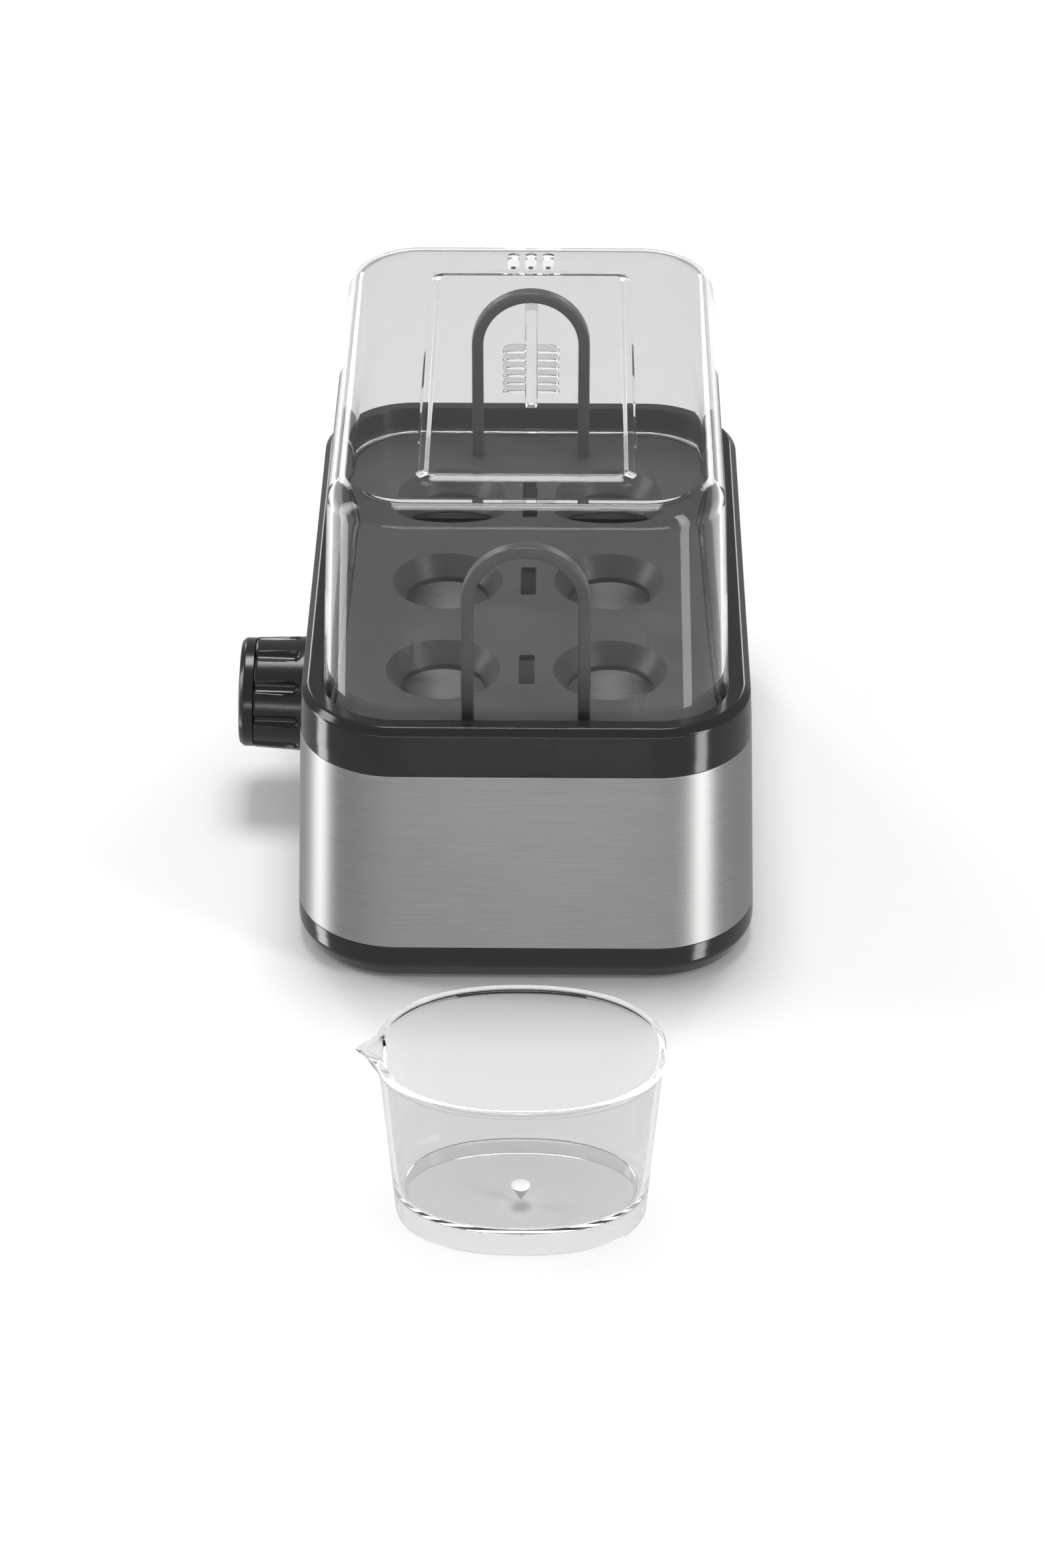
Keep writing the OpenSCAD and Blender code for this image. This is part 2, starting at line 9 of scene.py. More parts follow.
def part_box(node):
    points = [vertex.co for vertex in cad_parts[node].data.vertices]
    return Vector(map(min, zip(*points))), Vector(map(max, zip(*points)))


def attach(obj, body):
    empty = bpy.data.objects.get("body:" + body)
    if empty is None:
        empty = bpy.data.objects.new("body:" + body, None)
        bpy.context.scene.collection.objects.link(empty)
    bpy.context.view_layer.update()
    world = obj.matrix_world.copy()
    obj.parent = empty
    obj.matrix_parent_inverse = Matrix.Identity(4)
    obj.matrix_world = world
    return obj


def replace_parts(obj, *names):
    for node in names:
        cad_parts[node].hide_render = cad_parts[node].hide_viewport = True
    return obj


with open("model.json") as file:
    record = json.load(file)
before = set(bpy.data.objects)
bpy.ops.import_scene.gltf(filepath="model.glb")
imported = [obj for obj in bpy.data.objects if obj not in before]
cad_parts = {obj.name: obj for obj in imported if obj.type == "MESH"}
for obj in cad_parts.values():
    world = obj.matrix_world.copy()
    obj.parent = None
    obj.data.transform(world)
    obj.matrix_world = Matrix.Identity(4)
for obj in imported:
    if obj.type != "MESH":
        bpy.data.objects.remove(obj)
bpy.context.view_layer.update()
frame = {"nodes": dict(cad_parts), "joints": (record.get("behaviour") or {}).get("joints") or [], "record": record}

mm = 0.001  # pieces are drawn in millimetres and scaled once, when their mesh is made


# ---- camera, floor and lights

cameraSet = {"place": (0.01264, -1.37767, 0.88031), "looks": (-0.00905, 0.84389, -0.53644), "lens": 101.16}
# floor's side in metres; turn is the height over which the ground's grey turns into the sky's
stageSet = {"floor": 14.0, "sky": 0.36, "ground": 0.5, "turn": 0.12, "bounces": 32}
# each lamp: name, bearing from the front in degrees (+ is towards +X), width and height,
# distance from the middle of the floor, height of its own middle, radiance
lampSet = [
    ("leftStrip", -94, 0.42, 2.4, 1.5, 0.1, 6.5),
    ("rightStrip", 54, 0.34, 2.4, 1.5, 0.1, 7.5),
    ("frontBar", 0, 3.4, 0.2, 2.6, 0.16, 7.0),
    ("rearLeft", -152, 0.5, 1.2, 2.4, 1.05, 5.0),
    ("rearRight", 152, 0.5, 1.2, 2.4, 1.05, 5.0),
    ("overhead", 180, 0.7, 0.7, 0.3, 1.9, 12.0),
]


def addCamera():
    camera = bpy.data.objects.new("camera", bpy.data.cameras.new("camera"))
    camera.data.lens = cameraSet["lens"]
    camera.data.sensor_width = 36
    camera.location = cameraSet["place"]
    camera.rotation_euler = Vector(cameraSet["looks"]).to_track_quat("-Z", "Y").to_euler()
    bpy.context.scene.collection.objects.link(camera)
    bpy.context.scene.camera = camera


def addLamps():
    for name, bearing, width, height, distance, middle, radiance in lampSet:
        lamp = bpy.data.lights.new(name, "AREA")
        lamp.shape = "RECTANGLE"
        lamp.size, lamp.size_y = width, height
        lamp.energy = radiance * pi * width * height
        holder = bpy.data.objects.new(name, lamp)
        a = radians(bearing)
        holder.location = (distance * sin(a), -distance * cos(a), middle)
        holder.rotation_euler = (Vector((0, 0, 0.08)) - holder.location).to_track_quat("-Z", "Y").to_euler()
        holder.visible_camera = False
        bpy.context.scene.collection.objects.link(holder)


# ---- shader nodes

class Wire:  # an output socket, on which sums add Math nodes
    def __init__(self, tree, socket):
        self.tree, self.socket = tree, socket

    def sum(self, operation, first, second):
        node = self.tree.nodes.new("ShaderNodeMath")
        node.operation = operation
        for socket, value in zip(node.inputs, (first, second)):
            join(self.tree, socket, value)
        return Wire(self.tree, node.outputs[0])

    def __add__(self, other): return self.sum("ADD", self, other)
    def __radd__(self, other): return self.sum("ADD", other, self)
    def __sub__(self, other): return self.sum("SUBTRACT", self, other)
    def __rsub__(self, other): return self.sum("SUBTRACT", other, self)
    def __mul__(self, other): return self.sum("MULTIPLY", self, other)
    def __rmul__(self, other): return self.sum("MULTIPLY", other, self)
    def __truediv__(self, other): return self.sum("DIVIDE", self, other)
    def __pow__(self, other): return self.sum("POWER", self, other)


def join(tree, socket, value):
    if isinstance(value, Wire):
        tree.links.new(value.socket, socket)
    elif isinstance(value, tuple) and len(value) == 3 and len(socket.default_value) == 4:
        socket.default_value = (*value, 1)
    else:
        socket.default_value = value


class Finish:  # one material: a Principled shader and the nodes that feed it
    def __init__(self, name, **fixed):
        self.material = bpy.data.materials.new(name)
        self.material.use_nodes = True
        self.tree = self.material.node_tree
        self.tree.nodes.clear()
        self.shader = self.tree.nodes.new("ShaderNodeBsdfPrincipled")
        self.surface = Wire(self.tree, self.shader.outputs[0])
        self.output = self.tree.nodes.new("ShaderNodeOutputMaterial")
        self.tree.links.new(self.surface.socket, self.output.inputs["Surface"])
        for key, value in fixed.items():
            self.set(key, value)

    def set(self, key, value):  # baseColor goes to the socket Base Color, and so on
        words = "".join(" " + c if c.isupper() else c for c in key).title()
        join(self.tree, self.shader.inputs[words.replace("Ior", "IOR")], value)

    def add(self, kind, settings={}, sockets={}, out=0):
        node = self.tree.nodes.new("ShaderNode" + kind)
        for key, value in settings.items():
            if key == "stops":
                ramp = node.color_ramp.elements
                while len(ramp) < len(value):
                    ramp.new(0.5)
                for element, (place, colour) in zip(ramp, value):
                    element.position = place
                    element.color = (*colour, 1)
            else:
                setattr(node, key, value)
        for key, value in sockets.items():
            join(self.tree, node.inputs[key], value)
        return Wire(self.tree, node.outputs[out])

    def place(self, scale):  # the piece's own coordinates, stretched
        where = self.add("TexCoord", out="Object")
        return self.add("VectorMath", {"operation": "MULTIPLY"}, {0: where, 1: scale})

    def noise(self, scale, detail=3, roughness=0.5):
        scale = (scale,) * 3 if isinstance(scale, (int, float)) else scale
        return self.add("TexNoise", {}, {"Vector": self.place(scale), "Scale": 1.0, "Detail": detail,
                                         "Roughness": roughness})

    def cells(self, scale, feature="F1", out="Distance"):
        where = self.place((scale,) * 3)
        return self.add("TexVoronoi", {"feature": feature}, {"Vector": where, "Scale": 1.0}, out=out)

    def step(self, value, low, high):  # 0 below low, 1 above high
        return self.add("MapRange", {"clamp": True}, {"Value": value, "From Min": low, "From Max": high})

    def blend(self, mask, first, second, how="MIX"):
        colours = {0: mask, 6: first, 7: second}  # the node's factor and its two colour sockets
        return self.add("Mix", {"data_type": "RGBA", "blend_type": how}, colours, out=2)

    def relief(self, height, depth, strength=1.0):  # depth in millimetres
        bump = self.add("Bump", {}, {"Height": height, "Distance": depth * mm, "Strength": strength})
        self.set("normal", bump)
        return self


def glossBlack():
    finish = Finish("glossBlackPlastic", specularIorLevel=0.5)
    smudge = finish.noise(28, 4, 0.6)
    grain = finish.noise(2600, 2)
    finish.set("baseColor", finish.blend(smudge, (0.0115, 0.0115, 0.012), (0.016, 0.016, 0.0165)))
    finish.set("roughness", 0.11 + smudge * 0.06 + grain * 0.03)
    return finish.relief(finish.noise(420, 2) + grain * 0.15, 0.012, 0.5)


def knobBlack():
    finish = Finish("satinBlackPlastic")
    smudge = finish.noise(60, 4, 0.6)
    grain = finish.noise(4200, 2)
    finish.set("baseColor", finish.blend(smudge, (0.0115, 0.0115, 0.012), (0.017, 0.017, 0.0175)))
    finish.set("roughness", 0.15 + smudge * 0.07 + grain * 0.05)
    return finish.relief(grain + finish.noise(500, 2), 0.012, 0.5)


def mattBlack(name="matteBlackPlastic", colour=0.02, rough=0.5):
    finish = Finish(name)
    mottle = finish.noise(90, 4)
    grain = finish.cells(1900)
    finish.set("baseColor", finish.blend(mottle, (colour * 0.85,) * 3, (colour * 1.2,) * 3))
    finish.set("roughness", rough + mottle * 0.12 - grain * 0.06)
    return finish.relief(grain + finish.noise(5200, 2) * 0.4, 0.03, 0.6)


def trayGrey():
    finish = Finish("darkGreyPlastic", specularIorLevel=0.45)
    mottle = finish.noise(45, 5, 0.6)
    grain = finish.noise(3600, 2)
    haze = finish.step(finish.noise((16, 16, 60), 5, 0.65), 0.52, 0.74)  # dried water marks
    dark = finish.blend(mottle, (0.056, 0.055, 0.054), (0.066, 0.065, 0.064))
    finish.set("baseColor", finish.blend(haze * 0.25, dark, (0.105, 0.103, 0.1)))
    finish.set("roughness", 0.3 + mottle * 0.1 + haze * 0.12)
    return finish.relief(grain, 0.018, 0.5)


# light bends little, so thick edges stay pale, and a coat adds gloss
def clearPlastic(name, tint, bend, coat):
    finish = Finish(name, transmissionWeight=1.0, ior=bend, coatWeight=coat, coatIor=1.46,
                    coatRoughness=0.01)
    flow = finish.noise((14, 14, 9), 2)
    wisps = finish.step(finish.noise((90, 90, 700), 5, 0.7), 0.66, 0.8)  # fine wiping marks
    finish.set("baseColor", finish.blend(flow, tint, tuple(c + 0.012 for c in tint)))
    finish.set("roughness", 0.004 + wisps * 0.05)
    shadow = finish.add("LightPath", out="Is Shadow Ray")
    bounce = finish.add("LightPath", out="Is Diffuse Ray")
    pane = finish.add("BsdfTransparent", {}, {"Color": tuple((3 + c) / 4 for c in tint)})
    # lamps shine through, with a shadow much paler than the tint
    lit = finish.add("MixShader", {}, {0: shadow + bounce, 1: finish.surface, 2: pane})
    finish.tree.links.new(lit.socket, finish.output.inputs["Surface"])
    return finish.relief(flow, 0.01, 0.15)


def brushedSteel():
    finish = Finish("brushedSteel", metallic=1.0, anisotropic=0.3, anisotropicRotation=0.25)
    fine = finish.noise((120, 120, 5200), 4, 0.6)
    coarse = finish.noise((40, 40, 1700), 3, 0.55)
    cloud = finish.noise((6, 6, 14), 2)
    streak = fine * 0.6 + coarse * 0.4
    tone = finish.step(streak, 0.3, 0.7)
    dark, light = (0.33, 0.33, 0.327), (0.46, 0.46, 0.454)
    finish.set("baseColor", finish.blend(tone * 0.75 + cloud * 0.25, dark, light))
    finish.set("roughness", 0.37 + tone * 0.1 + cloud * 0.04)
    return finish.relief(streak, 0.03, 0.55)


def turnedSteel(name, scale, colour, rough, depth=0.01):
    finish = Finish(name, metallic=1.0)
    lines = finish.noise(scale, 4, 0.6)
    stain = finish.step(finish.noise(26, 5, 0.62), 0.5, 0.75)
    light = tuple(min(1, c * 1.15) for c in colour)
    finish.set("baseColor", finish.blend(stain * 0.5, finish.blend(lines, colour, light),
                                         tuple(c * 0.82 for c in colour)))
    finish.set("roughness", rough + lines * 0.1 + stain * 0.08)
    return finish.relief(lines, depth, 0.6)


def zincSteel():
    finish = Finish("zincSteel", metallic=1.0)
    spangle = finish.cells(700, out="Color")
    shade = finish.add("SeparateColor", {}, {0: spangle})
    finish.set("baseColor", finish.blend(shade, (0.50, 0.51, 0.52), (0.66, 0.65, 0.60)))
    finish.set("roughness", 0.3 + shade * 0.18)
    return finish.relief(finish.noise(1800, 3), 0.02, 0.5)


def castAluminium():
    finish = Finish("castAluminium", metallic=1.0)
    grain = finish.cells(900)
    cloud = finish.noise(40, 5)
    finish.set("baseColor", finish.blend(cloud, (0.60, 0.60, 0.61), (0.74, 0.74, 0.74)))
    finish.set("roughness", 0.42 + grain * 0.15 + cloud * 0.08)
    return finish.relief(grain + finish.noise(300, 4), 0.06, 0.7)


def sheathedSteel():
    finish = Finish("sheathedSteel", metallic=1.0)
    heat = finish.noise((30, 30, 60), 3)
    tint = finish.add("ValToRGB", {"stops": [(0.25, (0.26, 0.25, 0.26)), (0.5, (0.22, 0.16, 0.11)),
                                             (0.75, (0.13, 0.14, 0.18))]}, {0: heat})
    finish.set("baseColor", tint)
    finish.set("roughness", 0.38 + finish.noise(900, 3) * 0.15)
    return finish.relief(finish.noise(1400, 3), 0.02, 0.5)


def ceramic(name, colour, rough, speckle=0.5):
    finish = Finish(name)
    dots = finish.step(finish.cells(650), 0.18, 0.3)
    cloud = finish.noise(60, 4)
    light = finish.blend(cloud, tuple(c * 0.93 for c in colour), colour)
    finish.set("baseColor", finish.blend((1 - dots) * speckle, light, tuple(c * 0.6 for c in colour)))
    finish.set("roughness", rough + cloud * 0.12)
    return finish.relief(finish.noise(1500, 3) + dots * 0.3, 0.03, 0.6)


def softRubber(name, colour, rough):
    finish = Finish(name, specularIorLevel=0.35)
    bloom = finish.noise(110, 5, 0.65)
    grain = finish.noise(3000, 3)
    paler = tuple(c * 1.5 for c in colour)
    finish.set("baseColor", finish.blend(finish.step(bloom, 0.35, 0.8), colour, paler))
    finish.set("roughness", rough + bloom * 0.12)
    return finish.relief(grain + finish.cells(1200) * 0.5, 0.04, 0.7)


def insulation(name, colour):
    finish = Finish(name)
    cloud = finish.noise(140, 4)
    finish.set("baseColor", finish.blend(cloud, colour, tuple(min(1, c * 1.35 + 0.004) for c in colour)))
    finish.set("roughness", 0.34 + cloud * 0.14)
    return finish.relief(finish.noise(2400, 3), 0.02, 0.5)


finishes = {
    "gloss_black_plastic": glossBlack(),
    "matte_black_plastic": mattBlack(),
    "dark_grey_plastic": trayGrey(),
    "clear_plastic": clearPlastic("clearLidPlastic", (0.84, 0.84, 0.838), 1.28, 0.12),
    "brushed_steel": brushedSteel(),
    "satin_steel": turnedSteel("satinSteel", (60, 900, 900), (0.58, 0.58, 0.57), 0.24),
    "polished_steel": turnedSteel("polishedSteel", (300, 300, 2600), (0.87, 0.87, 0.87), 0.5, 0.004),
    "zinc_steel": zincSteel(),
    "cast_aluminium": castAluminium(),
    "sheathed_steel": sheathedSteel(),
    "cream_ceramic": ceramic("creamCeramic", (0.78, 0.74, 0.64), 0.55),
    "cream_plastic": ceramic("creamPlastic", (0.74, 0.71, 0.62), 0.32, 0.08),
    "grey_silicone": softRubber("greySilicone", (0.11, 0.11, 0.11), 0.5),
    "black_rubber": softRubber("blackRubber", (0.016, 0.016, 0.016), 0.66),
    "brown_insulation": insulation("brownInsulation", (0.15, 0.065, 0.025)),
    "blue_insulation": insulation("blueInsulation", (0.025, 0.10, 0.34)),
    "black_insulation": insulation("blackInsulation", (0.012, 0.012, 0.012)),
    "green_insulation": insulation("greenInsulation", (0.16, 0.36, 0.05)),
}
knobFinish = knobBlack()
cupFinish = clearPlastic("clearCupPlastic", (0.81, 0.81, 0.808), 1.2, 0.04)
print("finishes made:", len(finishes) + 2)


# ---- mesh tools

def boxOf(node):  # a node's lowest and highest corners, in millimetres
    low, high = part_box(node)
    return low / mm, high / mm


def soften(path, closed=True, steps=5):  # rounds each corner of a path of (inset, height, radius)
    points = []
    for i, (x, z, radius) in enumerate(path):
        here = Vector((x, z))
        if not radius or (not closed and i in (0, len(path) - 1)):
            points.append(here)
            continue
        back = Vector(path[i - 1][:2]) - here
        ahead = Vector(path[(i + 1) % len(path)][:2]) - here
        reach = min(radius / tan(back.angle(ahead) / 2), 0.48 * back.length, 0.48 * ahead.length)
        start, end = here + back.normalized() * reach, here + ahead.normalized() * reach
        for k in range(steps + 1):
            t = k / steps
            points.append(start.lerp(here, t).lerp(here.lerp(end, t), t))
    return points


def plan(halfX, halfY, radius, z, slope=0, centreY=0, corner=20):  # one level of a rounded rectangle
    ring = []
    for quarter, (sx, sy) in enumerate(((1, 1), (-1, 1), (-1, -1), (1, -1))):
        for i in range(corner + 1):
            a = (quarter + i / corner) * pi / 2
            x = sx * (halfX - radius) + radius * cos(a)
            y = centreY + sy * (halfY - radius) + radius * sin(a)
            ring.append(Vector((x, y, z - slope * y)))
    return ring


def circle(radius, z, steps=72):
    angles = (2 * pi * i / steps for i in range(steps))
    return [Vector((radius * cos(a), radius * sin(a), z)) for a in angles]


# a skin over rings of equal count, with flat ends unless it closes on itself
def loft(rings, closed=False):
    bm = bmesh.new()
    rows = [[bm.verts.new(p) for p in ring] for ring in rings]
    for low, high in zip(rows, rows[1:] + rows[:1] if closed else rows[1:]):
        for i in range(len(low)):
            j = (i + 1) % len(low)
            bm.faces.new((low[i], low[j], high[j], high[i]))
    if not closed:
        bm.faces.new(rows[0])
        bm.faces.new(rows[-1])
    return bm


def solid(name, rings, closed=False, matrix=Matrix(), sharp=40):
    bm = loft(rings, closed)
    bmesh.ops.recalc_face_normals(bm, faces=bm.faces)
    mesh = bpy.data.meshes.new(name)
    bm.to_mesh(mesh)
    bm.free()
    mesh.transform(Matrix.Scale(mm, 4) @ matrix)
    piece = bpy.data.objects.new(name, mesh)
    bpy.context.scene.collection.objects.link(piece)
    return smooth(piece, sharp)


def smooth(piece, sharp=40):
    piece.data.shade_smooth()
    piece.data.set_sharp_from_angle(angle=radians(sharp))
    return piece


def turned(name, path, steps=72, closed=False, **more):  # path is radius and height
    return solid(name, [circle(r, z, steps) for r, z in path], closed, **more)


def carve(piece, tools, how="DIFFERENCE", sharp=40):
    for tool in tools:
        cut = piece.modifiers.new(tool.name, "BOOLEAN")
        cut.operation, cut.solver, cut.object = how, "EXACT", tool
    bpy.context.view_layer.update()
    shaped = bpy.data.meshes.new_from_object(piece.evaluated_get(bpy.context.evaluated_depsgraph_get()))
    piece.modifiers.clear()
    piece.data = shaped
    for tool in tools:
        bpy.data.objects.remove(tool)
    return smooth(piece, sharp)


def at(x=0, y=0, z=0):
    return Matrix.Translation((x, y, z))


def fit(piece, body, slot, *nodes, finish=None):  # gives a piece its finish, body and CAD nodes
    piece.data.materials.clear()
    piece.data.materials.append((finish or finishes[slot]).material)
    weighted = piece.modifiers.new("flatFaces", "WEIGHTED_NORMAL")
    weighted.keep_sharp = True
    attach(piece, body)
    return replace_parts(piece, *nodes)


# ---- housing

bandLow, bandHigh = boxOf("steel_band")
knobJoint = next(j for j in frame["joints"] if j["name"] == "knob_turn")
knobOut = -Vector(knobJoint["axis"]).normalized()
taper = tan(asin(knobOut.z))  # the side walls lean in, and the knob stands square to them
housingSet = {"radius": 36}


def wall(inset, z):  # level of the housing's drafted wall
    lean = (z - bandLow.z) * taper + inset
    return plan(bandHigh.x - lean, bandHigh.y - lean, housingSet["radius"] - lean, z, corner=28)


steelSet = {"thickness": 0.8, "edge": 0.35, "collarHole": 5.3}


def makeSteelBand():
    t, r = steelSet["thickness"], steelSet["edge"]
    path = soften([(0, bandLow.z, r), (0, bandHigh.z, r), (t, bandHigh.z, r), (t, bandLow.z, r)])
    band = solid("steelBand", [wall(*p) for p in path], closed=True)
    hole = turned("hole", [(steelSet["collarHole"], -6), (steelSet["collarHole"], 6)], matrix=knobPlace())
    carve(band, [hole])
    return fit(band, "housing", "brushed_steel", "steel_band")


rimLow, rimHigh = boxOf("upper_rim")
rimSet = {"lip": 7.2, "edgeDrop": 1.7, "edgeIn": 2.45, "grooveFloor": 91.5, "grooveWidth": 3.6, "ledge": 87,
          "ledgeWidth": 4.3, "ledgeThick": 2.5, "pocketIn": 5.0, "pocketTop": 98.3, "openingRadius": 27,
          "crown": 0.22, "columnAt": (62.5, 104.5), "columnRadius": 4, "boreRadius": 1.6, "boreDepth": 24}


def makeRim():
    s = rimSet
    top, edge = rimHigh.z, rimHigh.z - s["edgeDrop"]
    reach = (top - bandLow.z) * taper + s["lip"]
    openX, openY = bandHigh.x - reach, bandHigh.y - reach

    def well(inset, z):  # level inside the opening
        return plan(openX - inset, openY - inset, s["openingRadius"] - inset, z, corner=28)

    seam = bandHigh.z + 0.05
    # each corner of a section: inset from the wall, height, radius of its rounding
    outside = soften([(1.0, rimLowSkirt(), 0.3), (1.0, seam, 0), (0.06, seam, 0.25),
                      (0, bandHigh.z + 5, 30), (s["crown"], edge - 0.6, 1.2),
                      (s["edgeIn"], top, 1.6), (s["lip"] - 0.02, top, 0)], closed=False, steps=7)
    inside = soften([(0, top, 0), (0.0, top - 0.6, 0), (0, s["grooveFloor"], 0.5),
                     (s["grooveWidth"], s["grooveFloor"], 0.5), (s["grooveWidth"], s["ledge"], 0.5),
                     (s["grooveWidth"] + s["ledgeWidth"], s["ledge"], 0.5),
                     (s["grooveWidth"] + s["ledgeWidth"], s["ledge"] - s["ledgeThick"], 0.3)], closed=False)
    under = [(s["pocketIn"], s["ledge"] - s["ledgeThick"]), (s["pocketIn"], s["pocketTop"]),
             (2.6, s["pocketTop"]), (2.6, rimLowSkirt())]
    rings = [wall(*p) for p in outside] + [well(*p) for p in inside[1:]] + [wall(*p) for p in under]
    rim = solid("upperRim", rings, closed=True)
    x, y = s["columnAt"]
    spots = [(sx * x, sy * y) for sx in (-1, 1) for sy in (-1, 1)]
    ends = rimLow.z, s["ledge"] - 1
    columns = [turned("column", [(s["columnRadius"], z) for z in ends], 48, matrix=at(*p)) for p in spots]
    carve(rim, columns, "UNION")
    drill = [(s["boreRadius"], ends[0] - 1), (s["boreRadius"], ends[0] + s["boreDepth"])]
    bores = [turned("bore", drill, 32, matrix=at(*p)) for p in spots]
    carve(rim, bores)
    return fit(rim, "housing", "gloss_black_plastic", "upper_rim")


def rimLowSkirt():  # the skirt that locates the steel band from inside
    return bandHigh.z - 6.5


def knobPlace():  # from the knob's own axis, +Z outwards, to the side wall
    z = knobSet["height"]
    x = -(bandHigh.x - (z - bandLow.z) * taper)
    return at(x, 0, z) @ Vector((0, 0, 1)).rotation_difference(knobOut).to_matrix().to_4x4()


panSet = {"low": 1.5, "chamferIn": 3.2, "chamferTop": 7.6, "floor": 5.5, "lip": 5, "wall": 2.6,
          "slots": 11, "slotPitch": 8, "slotSize": (18, 1.5), "recess": 7.6, "postAt": (44, 62),
          "postTop": 30, "clampY": 104, "clampX": 10, "padX": 9, "padY": (111.3, 123.3), "bore": 4.6}


def makePan():
    s = panSet
    top, lip = bandLow.z - 0.05, bandLow.z + s["lip"]
    # each corner: inset from the wall, height, radius of its rounding
    path = soften([(s["chamferIn"] + 3, s["low"], 0), (s["chamferIn"], s["low"], 2.4),
                   (0.12, s["chamferTop"], 5), (0, top - 3, 8), (0.05, top, 0.3), (1.0, top, 0),
                   (1.0, lip, 0.4), (s["wall"], lip, 0.4), (s["wall"], s["chamferTop"] + 1, 1),
                   (4.4, s["floor"], 1), (8, s["floor"], 0)], closed=False, steps=7)
    pan = solid("basePan", [wall(*p) for p in path])
    postX, postY = s["postAt"]
    corner = rimSet["columnAt"]
    corners = [(sx * corner[0], sy * corner[1]) for sx in (-1, 1) for sy in (-1, 1)]
    posts = [(sx * postX, sy * postY) for sx in (-1, 1) for sy in (-1, 1)]
    clamps = [(-s["clampX"], s["clampY"]), (s["clampX"], s["clampY"])]
    floor = s["floor"]
    # each end of a turned piece: radius, height
    added = [turned("boss", [(5.4, floor - 1), (5.4, lip - 0.3)], 48, matrix=at(*p)) for p in corners]
    added += [turned("post", [(4.2, floor - 1), (4, s["postTop"])], 48, matrix=at(*p)) for p in posts]
    added += [turned("stub", [(3.4, floor - 1), (3.4, floor + 4)], 32, matrix=at(*p)) for p in clamps]
    padY = sum(s["padY"]) / 2
    levels = s["low"] + 0.02, top - 0.02
    pad = [plan(s["padX"], padY - s["padY"][0], 1.5, z, centreY=padY, corner=6) for z in levels]
    carve(pan, added + [solid("pad", pad)], "UNION")
    holes = [turned("screwWay", [(1.9, -1), (1.9, 28)], 32, matrix=at(*p)) for p in corners]
    holes += [turned("headWay", [(3.8, -1), (3.8, s["low"] + 3)], 40, matrix=at(*p)) for p in corners]
    drill = [(1.3, s["postTop"] - 10), (1.3, s["postTop"] + 2)]
    holes += [turned("postBore", drill, 24, matrix=at(*p)) for p in posts]
    holes += [turned("stubBore", [(1.3, floor + 0.5), (1.3, floor + 8)], 24, matrix=at(*p)) for p in clamps]
    recess = [(s["recess"], -1), (s["recess"], s["low"] + 1.2)]
    holes += [turned("footWay", recess, 56, matrix=at(*middle(f)[:2])) for f in feet]
    halfX, halfY = s["slotSize"]
    for i in range(s["slots"]):
        y = (i - (s["slots"] - 1) / 2) * s["slotPitch"]
        slot = [plan(halfX, halfY, 1.4, z, centreY=y, corner=6) for z in (-1, floor + 4)]
        holes.append(solid("slot", slot))
    gland = middle("cord_gland")
    sideways = at(0, s["padY"][1] + 1, gland.z) @ Matrix.Rotation(pi / 2, 4, "X")
    holes.append(turned("cordWay", [(s["bore"], 0), (s["bore"], 14)], 48, matrix=sideways))
    carve(pan, holes)
    return fit(pan, "housing", "gloss_black_plastic", "base_pan")


def middle(node):
    low, high = boxOf(node)
    return (low + high) / 2


feet = ["foot_1", "foot_2", "foot_3", "foot_4"]
footSet = {"grooves": (2.2, 4.2), "groove": 0.35}


def makeFoot(node):
    low, high = boxOf(node)
    radius, top = (high.x - low.x) / 2, high.z
    g = footSet["groove"]
    path = [(0.4, 0, 0)]
    for r in footSet["grooves"]:  # rings moulded in the sole
        path += [(r - g, 0, 0.15), (r - g * 0.5, g, 0.1), (r + g * 0.5, g, 0.1), (r + g, 0, 0.15)]
    path += [(radius - 1.0, 0, 0.4), (radius, 1.1, 0.5), (radius, top, 0.3), (0.5, top, 0)]
    spot = middle(node)
    foot = turned("foot" + node[-1], soften(path, closed=False), 64, matrix=at(spot.x, spot.y))
    return fit(foot, "housing", "black_rubber", node)


screwSet = {"head": 3.2, "headHeight": 2.2, "shank": 1.5, "turns": 18, "cross": (2.2, 0.45, 1.2)}


def makeScrews():
    s = screwSet
    low, high = boxOf("base_screws")
    x, y = rimSet["columnAt"]
    reach, half, depth = s["cross"]
    parts = []
    for spot in [(sx * x, sy * y) for sx in (-1, 1) for sy in (-1, 1)]:
        shank = high.z - low.z
        path = [(0.6, 0, 0), (s["head"] - 0.4, 0.15, 0.6), (s["head"], 1.1, 0.4)]
        path += [(s["head"], s["headHeight"], 0.1), (s["shank"], s["headHeight"], 0.1)]
        for i in range(s["turns"]):  # thread
            z = s["headHeight"] + 3 + i * (shank - s["headHeight"] - 5) / (s["turns"] - 1)
            path += [(s["shank"] - 0.25, z, 0), (s["shank"], z + 0.5, 0)]
        path += [(s["shank"] - 0.2, shank - 1, 0), (0.5, shank, 0)]
        screw = turned("screw", soften(path, closed=False), 40, matrix=at(spot[0], spot[1], low.z))
        slots = []
        for a, b in ((reach, half), (half, reach)):
            arm = [plan(a, b, 0.1, z, corner=2) for z in (-1, depth)]
            slots.append(solid("cross", arm, matrix=at(*spot, low.z)))
        parts.append(carve(screw, slots))
    return fit(gather("baseScrews", parts), "housing", "zinc_steel", "base_screws")


def gather(name, parts):  # several loose pieces as one mesh
    bm = bmesh.new()
    for part in parts:
        bm.from_mesh(part.data)
        bpy.data.objects.remove(part)
    mesh = bpy.data.meshes.new(name)
    bm.to_mesh(mesh)
    bm.free()
    piece = bpy.data.objects.new(name, mesh)
    bpy.context.scene.collection.objects.link(piece)
    return smooth(piece)


glandSet = {"flange": 2.0}


